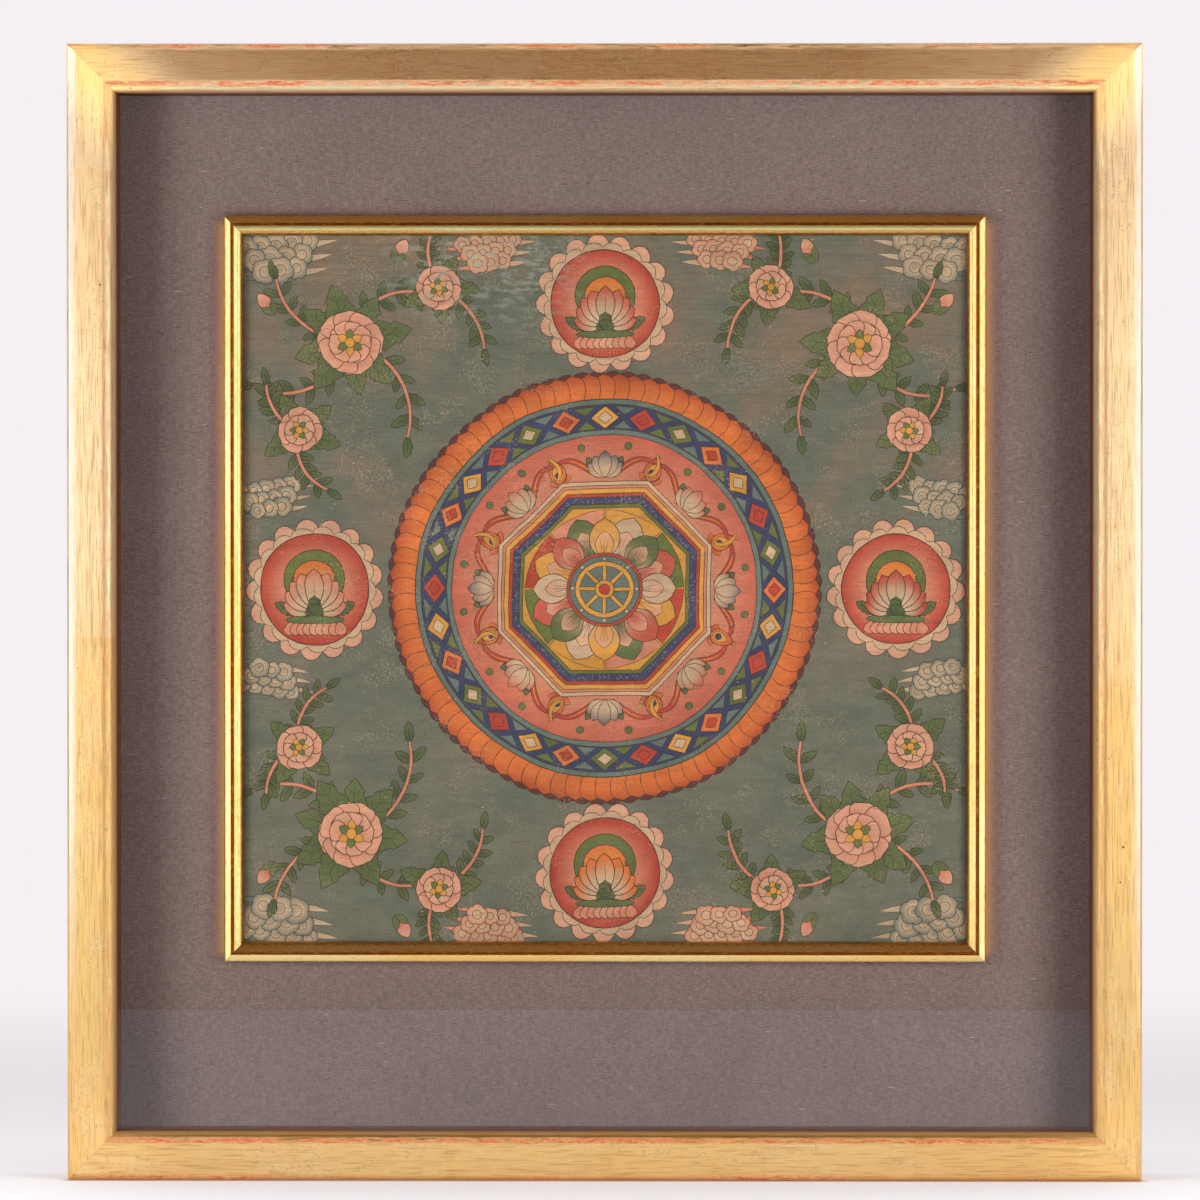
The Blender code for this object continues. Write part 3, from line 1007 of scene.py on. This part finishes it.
cad_back = cad_box[1][1]
slip_width, slip_height, slip_centre = box_around("slip")
slip_values = {
    "Width": slip_width,
    "Height": slip_height,
    "Centre": slip_centre,
    "Gap": FILLED_JOINT,
    "Stretches": 110,
    "Unevenness": 0.00001,
    "Worked From": PAINTING_BACK + 0.0022,
    "Finish": slip_finish(),
}
slip = moulding("slip_moulding", slip_section(), slip_values)
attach(slip, "root")
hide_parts("slip_bottom", "slip_left", "slip_top", "slip_right")

# The rails: deep wooden moulding in gesso and red bole, water-gilt with lapping leaves and rubbed
# back, so that the bole shows along both arrises. The corners are mitred, glued and pinned.

RAIL_WIDTH = 0.0245
REBATE_WIDTH = 0.006
LIP_BACK = 0.0336
CROWN = 0.042
LEAF_SIZE = 0.078


def rail_section():
    """The rail's section as (inward, forward) from its outer edge and the back of the box."""
    outer_edge = oval_arc((0.0025, CROWN - 0.0046), (0.0025, 0.0021), 180, 105, 14)
    nose = oval_arc((0.0186, CROWN - 0.0056), (0.0059, 0.0056), 84, 6, 16)
    wall = RAIL_WIDTH - REBATE_WIDTH
    return [
        (0, 0),
        *outer_edge[:-1],
        *bowed(outer_edge[-1], (0.0187, CROWN), 0.00006, 12),
        *nose,
        (RAIL_WIDTH, CROWN - 0.0056),
        (RAIL_WIDTH, LIP_BACK),
        (wall, LIP_BACK),
        (wall, 0),
    ]


def rail_finish():
    """Pale gold leaf on red bole, yellower low down and at the mitres, rubbed through at its edges, with a
    painted highlight on the side rails' outer edge and painted shade on the inner nose.
    """
    gold = Finish("rail_gold_leaf", 0.3)
    step, over, times, plus, grain = gold.step, gold.over, gold.times, gold.plus, gold.grain
    lay = gold.place(attribute="lay")
    inward, forward, along = gold.parts(lay)
    height = gold.parts(gold.place())[2]
    from_mitre = gold.node("Attribute", {}, "Fac", attribute_name="from_mitre")
    upright = gold.math("MODULO", gold.math("FLOOR", plus(along, 0.5)), 2.0)
    streaks = grain(gold.place((1, 1, 0.035), "lay"), 0.0006, 1, 0.6)
    bands = grain(gold.place((1, 1, 0.05), "lay"), 0.0035, 2, 0.6)
    cloudy = grain(gold.place((1, 1, 0.5), "lay"), 0.020, 2)
    specks = grain(gold.place((1, 1, 0.7), "lay"), 0.0008, 1, 0.7)

    leaf_edge = plus(along, times(grain(lay, 0.008), 0.003))
    leaf_at = gold.math("DIVIDE", leaf_edge, LEAF_SIZE)
    tint = gold.node("TexWhiteNoise", {"W": gold.math("FLOOR", leaf_at)}, "Value", noise_dimensions="1D")
    lap = step(gold.math("FRACT", leaf_at), 0.065, 0.055)

    yellow = gold.math("MAXIMUM", step(height, 0.36, 0.20), step(from_mitre, 0.045, 0.005))
    yellow = plus(times(yellow, 0.75), times(tint, 0.35))
    tone = over(step(yellow, 0.0, 1.0), srgb(250, 226, 180), srgb(250, 208, 134))
    tone = over(times(lap, 0.15), tone, srgb(236, 184, 104))
    tone = over(step(streaks, 0.52, 0.70, 0, 0.58), tone, srgb(196, 146, 86))
    tone = over(step(bands, 0.54, 0.70, 0, 0.20), tone, srgb(214, 170, 108))
    tone = over(step(cloudy, 0.45, 0.70, 0, 0.25), tone, srgb(255, 230, 178))

    cracks = grain(gold.place((0.6, 1, 0.35), "lay"), 0.0022, 2, 0.6)
    crack = times(step(gold.apart(cracks, 0.5), 0.012, 0.0), step(cloudy, 0.46, 0.60), 0.55)
    tone = over(crack, tone, srgb(140, 94, 50))

    rub = grain(gold.place((1, 1, 0.11), "lay"), 0.0012, 2, 0.7)
    patches = grain(gold.place((1, 1, 0.35), "lay"), 0.018, 2)
    arris = times(step(inward, 0.0182, 0.0195), step(inward, 0.0224, 0.0208))
    arris = times(arris, step(patches, 0.34, 0.52, 0.75, 1.1))
    edge = times(step(inward, 0.0001, 0.0007), step(inward, 0.0040, 0.0018))
    edge = times(edge, step(patches, 0.42, 0.62, 0.35, 1.0))
    rubbed = times(plus(arris, edge), step(upright, 0.0, 1.0, 1.0, 0.40))
    low_side = times(step(forward, 0.036, 0.012), step(patches, 0.45, 0.65, 0.05, 0.45))
    worn = times(plus(rubbed, low_side), step(rub, 0.32, 0.58))
    bole = over(step(specks, 0.35, 0.65), srgb(156, 76, 44), srgb(196, 120, 78))
    # Painted highlight: near-white along the outer rounded edge of the side rails, above their lowest part.
    painted_highlight = times(step(inward, 0.0003, 0.0012), step(inward, 0.0058, 0.0022), step(height, 0.05, 0.24))
    tone = over(times(painted_highlight, upright, 0.8), tone, srgb(255, 248, 232))

    # Painted shade: brown on the inner nose below its crown, where it turns down to the glass; it also dulls
    # the gold there.
    painted_nose_shade = times(step(forward, CROWN - 0.0012, CROWN - 0.0040), step(inward, 0.0196, 0.0222))
    tone = over(times(painted_nose_shade, 0.75), tone, srgb(140, 84, 52))
    tone = over(worn, tone, bole)

    pits = step(gold.node("TexVoronoi", {"Vector": lay, "Scale": 70.0, "Randomness": 1.0}), 0.052, 0.036)
    pits = times(pits, step(grain(lay, 0.03), 0.54, 0.60))
    tone = over(times(pits, 0.85), tone, srgb(86, 48, 26))

    bare = step(forward, 0.0012, 0.0004)
    wood = grain(gold.place((1, 1, 0.03), "lay"), 0.0016, 2, 0.6)
    tone = over(bare, tone, over(step(wood, 0.3, 0.7), srgb(150, 108, 68), srgb(196, 156, 108)))

    dull = gold.math("MAXIMUM", gold.math("MAXIMUM", worn, bare), times(painted_nose_shade, 0.5))
    gloss = plus(step(streaks, 0.3, 0.7, 0.26, 0.34), times(dull, 0.3))
    gloss = plus(gloss, step(specks, 0.60, 0.72, 0, 0.16), step(from_mitre, 0.16, 0.0, 0, 0.14))
    gold.feed(gold.surface, {"Base Color": tone, "Roughness": gloss})
    dusted = times(step(from_mitre, 0.050, 0.002), step(height, 0.40, 0.52, 0.15, 0.60))
    gold.feed(gold.surface, {"Metallic": gold.minus(1.0, gold.math("MAXIMUM", dull, dusted))})
    gold.relief((streaks, 0.00002), (pits, -0.00025))
    return gold.material


frame_width, frame_height, frame_centre = box_around("rail")
rail_values = {
    "Width": frame_width,
    "Height": frame_height,
    "Centre": frame_centre,
    "Gap": FILLED_JOINT,
    "Stretches": 180,
    "Unevenness": 0.00003,
    "Worked From": LIP_BACK + 0.002,
    "Finish": rail_finish(),
}
rails = moulding("rail_moulding", rail_section(), rail_values)
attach(rails, "root")
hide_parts("rail_bottom", "rail_left", "rail_top", "rail_right")

# The glass: one clear plain pane in the rebate, behind the rails' lip. It mirrors the table before
# the frame low down, and shows almost nothing else.

GLASS_FACE_ON = 0.025

pane = Finish("clear_pane", 0.0)
facing = pane.node("LayerWeight", {"Blend": 0.5}, "Facing")
slant = pane.math("POWER", facing, 5.0)
mirrored = pane.plus(pane.times(slant, 1 - GLASS_FACE_ON), GLASS_FACE_ON)
clear = pane.node("BsdfTransparent", {"Color": (0.985, 0.99, 0.985, 1)})
gleam = pane.node("BsdfGlossy", {"Color": (1, 1, 1, 1), "Roughness": 0.0})
both = pane.node("MixShader", {0: mirrored, 1: clear, 2: gleam})
pane.feed(pane.tree.nodes["Material Output"], {"Surface": both})
pane.tree.nodes.remove(pane.surface)
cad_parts["glass"].material_slots[0].material = pane.material
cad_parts["glass"].visible_shadow = False

# The spacers: strips of stained wood, cut square, that line the rebate and keep the glass off the
# mount. They are pushed in behind the glass and held by the mount.


def spacer_finish(stretch):
    """Dark brown stain over a fine grain that runs as stretch says."""
    strip = Finish("stained_strip", 0.5)
    grain = strip.grain(strip.place(stretch), 0.0012, 2, 0.6)
    dusty = strip.grain(strip.place(), 0.003, 2, 0.7)
    tone = strip.over(strip.step(grain, 0.3, 0.7), srgb(72, 34, 17), srgb(110, 56, 28))
    tone = strip.over(strip.step(dusty, 0.66, 0.78, 0, 0.3), tone, srgb(150, 128, 110))
    sheen = strip.step(grain, 0.3, 0.7, 0.42, 0.58)
    strip.feed(strip.surface, {"Base Color": tone, "Roughness": sheen})
    strip.relief((grain, 0.00008))
    return strip.material


level, upright = spacer_finish((0.04, 1, 1)), spacer_finish((1, 1, 0.04))
for side, stain in (("bottom", level), ("top", level), ("left", upright), ("right", upright)):
    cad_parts[f"spacer_{side}"].material_slots[0].material = stain

# The back board: brown pressed fibreboard, cut to the rebate, that closes the box from behind.

board = Finish("pressed_fibreboard", 0.85)
fibres = board.grain(board.place((1, 1, 1)), 0.0016, 5, 0.75)
mottle = board.grain(board.place(), 0.05, 3)
tone = board.over(board.step(fibres, 0.3, 0.7), srgb(112, 80, 54), srgb(160, 122, 84))
tone = board.over(board.step(mottle, 0.4, 0.7, 0, 0.4), tone, srgb(120, 86, 58))
board.feed(board.surface, {"Base Color": tone})
board.relief((fibres, 0.00020))
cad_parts["back_board"].material_slots[0].material = board.material

# The studio: a white table that runs back into a pale lavender backdrop, a tall soft light on each
# side and one overhead for the table. The gilding mirrors the pale walls and a brown ceiling.

scene = bpy.context.scene
scene.view_settings.view_transform = "Standard"

BACKDROP = srgb(244, 240, 244)
TABLE_FRONT = 1.10
TABLE_BACK = 1.70
TABLE_HALF_WIDTH = 0.95
TABLE_GLOW = 0.10
CONTACT_SHADE = 0.0018
table_mesh = bpy.data.meshes.new("table_top")
table_edge = [(-1, -TABLE_FRONT), (1, -TABLE_FRONT), (1, TABLE_BACK), (-1, TABLE_BACK)]
table_mesh.from_pydata([(x * TABLE_HALF_WIDTH, y, 0) for x, y in table_edge], [], [(0, 1, 2, 3)])
paper = Finish("white_table", 0.7)
aside, depth, _ = paper.parts(paper.place())
paper_tone = paper.over(paper.step(depth, -0.16, -0.60), srgb(232, 234, 240), srgb(134, 166, 188))
front = cad_back - CROWN
# Painted contact shadow: a thin darker strip on the table just in front of the frame's foot.
before = paper.step(depth, front - CONTACT_SHADE, front - 0.0004)
beneath = paper.step(depth, front + 0.02, front)
beside = paper.times(before, beneath, paper.step(paper.math("ABSOLUTE", aside), 0.274, 0.266))
paper_tone = paper.over(beside, paper_tone, srgb(188, 164, 150))
paper.feed(paper.surface, {"Base Color": paper_tone, "Specular IOR Level": 0.1})
paper.feed(paper.surface, {"Emission Color": paper_tone, "Emission Strength": TABLE_GLOW})
beyond = paper.node("Emission", {"Color": BACKDROP})
faded = paper.node("MixShader", {0: paper.step(depth, 0.15, 1.30), 1: paper.surface.outputs[0], 2: beyond})
paper.feed(paper.tree.nodes["Material Output"], {"Surface": faded})
table_mesh.materials.append(paper.material)
table = put_in("table_top", table_mesh)
table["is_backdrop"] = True

WALL_LIGHT = 1.38
world = bpy.data.worlds.new("studio")
world.use_nodes = True
scene.world = world
air = Wiring(world.node_tree, "ShaderNode")
across, ahead, up = air.parts(air.node("TexCoord", {}, "Generated"))
aside = air.math("ABSOLUTE", across)
BRIGHTEST = 1.9
WALL_STOPS = (
    *(0.0, 0.09, 0.12, 0.15, 0.18, 0.21, 0.24, 0.28, 0.31, 0.34, 0.40, 0.45, 0.50, 0.55, 0.60),
    *(0.62, 0.64, 0.66, 0.70, 0.74, 0.78, 0.80, 0.82, 0.84, 0.86, 0.90, 0.95, 1.0),
)


def eased(value, start, end, low=0.0, high=1.0):
    """Goes smoothly from low to high while value goes from start to end."""
    share = min(max((value - start) / (end - start), 0), 1)
    return low + (high - low) * share * share * (3 - 2 * share)


def wall_tone(aside):
    """The wall's colour this far to the side, and how much lower its top edge lies there."""
    level = eased(aside, 0.09, 0.28) * eased(aside, 0.50, 0.78, 1.0, 0.66)
    level *= eased(aside, 0.84, 1.0, 1.0, 0.35)
    level = (level + 1.1 * eased(aside, 0.60, 0.66) * eased(aside, 0.86, 0.78)) / BRIGHTEST
    warm = eased(aside, 0.14, 0.34)
    fringe, white = (1.0, 0.30, 0.06), (1.0, 0.97, 0.93)
    return (*[level * (f + (w - f) * warm) for f, w in zip(fringe, white)], eased(aside, 0.40, 0.60, 0, 0.30))


ramp = air.node("ValToRGB", {"Fac": aside}).node
for spot in WALL_STOPS[1:-1]:
    ramp.color_ramp.elements.new(spot)
for stop in ramp.color_ramp.elements:
    stop.color = wall_tone(stop.position)
height = air.plus(up, ramp.outputs["Alpha"])
full = WALL_LIGHT * BRIGHTEST
wall = air.scaled(ramp.outputs["Color"], air.step(height, 0.30, 0.48, full, full * 0.08))
ceiling = air.scaled((0.20, 0.12, 0.07), air.step(up, 0.20, 0.42, 0.15, 1.0))
room = {0: air.step(ahead, -0.1, 0.3), 6: air.vector("ADD", wall, ceiling), 7: srgb(222, 218, 220)}
room = air.node("Background", {"Color": air.node("Mix", room, 2, data_type="RGBA")})
seen = air.node("Background", {"Color": BACKDROP})
direct = air.node("LightPath", {}, "Is Camera Ray")
shown = air.node("MixShader", {0: direct, 1: room, 2: seen})
air.feed(world.node_tree.nodes["World Output"], {0: shown})


def soft_light(name, place, towards, size, watts):
    """A flat soft light that shines towards a spot and isn't mirrored itself."""
    lamp = bpy.data.lights.new(name, "AREA")
    lamp.shape = "RECTANGLE"
    lamp.size, lamp.size_y = size
    lamp.energy = watts
    holder = put_in(name, lamp)
    holder.location = place
    holder.rotation_euler = (towards - place).to_track_quat("-Z", "Y").to_euler()
    holder.visible_glossy = False


SIDE_LIGHT_AWAY = 1.10
LIGHT_WATTS = 13.0
middle = Vector((0, cad_back, frame_height / 2 - 0.10))
for side, turn in (("left", -50.5), ("right", 47.5)):
    away = Vector((sin(radians(turn)), -cos(radians(turn)), 0)) * SIDE_LIGHT_AWAY
    soft_light(f"soft_light_{side}", middle + away, middle, (0.38, 0.80), LIGHT_WATTS)
soft_light("soft_light_above", Vector((0, -0.05, 1.9)), Vector((0, -0.05, 0)), (1.6, 0.5), LIGHT_WATTS)

AIM = Vector((-0.0021, -0.021, 0.2908))
CAMERA_AWAY = 3.2
CAMERA_TURN = radians(0.65)
CAMERA_RISE = radians(0.8)
LENS_MM = 192.17
camera = put_in("camera", bpy.data.cameras.new("camera"))
camera.data.lens = LENS_MM
camera.data.sensor_width = 36
reach = Vector((sin(CAMERA_TURN) * cos(CAMERA_RISE), -cos(CAMERA_TURN) * cos(CAMERA_RISE), sin(CAMERA_RISE)))
camera.location = AIM + reach * CAMERA_AWAY
camera.rotation_euler = (-reach).to_track_quat("-Z", "Y").to_euler()
scene.camera = camera

corners = {"cad": cad_box, "visual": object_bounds()}
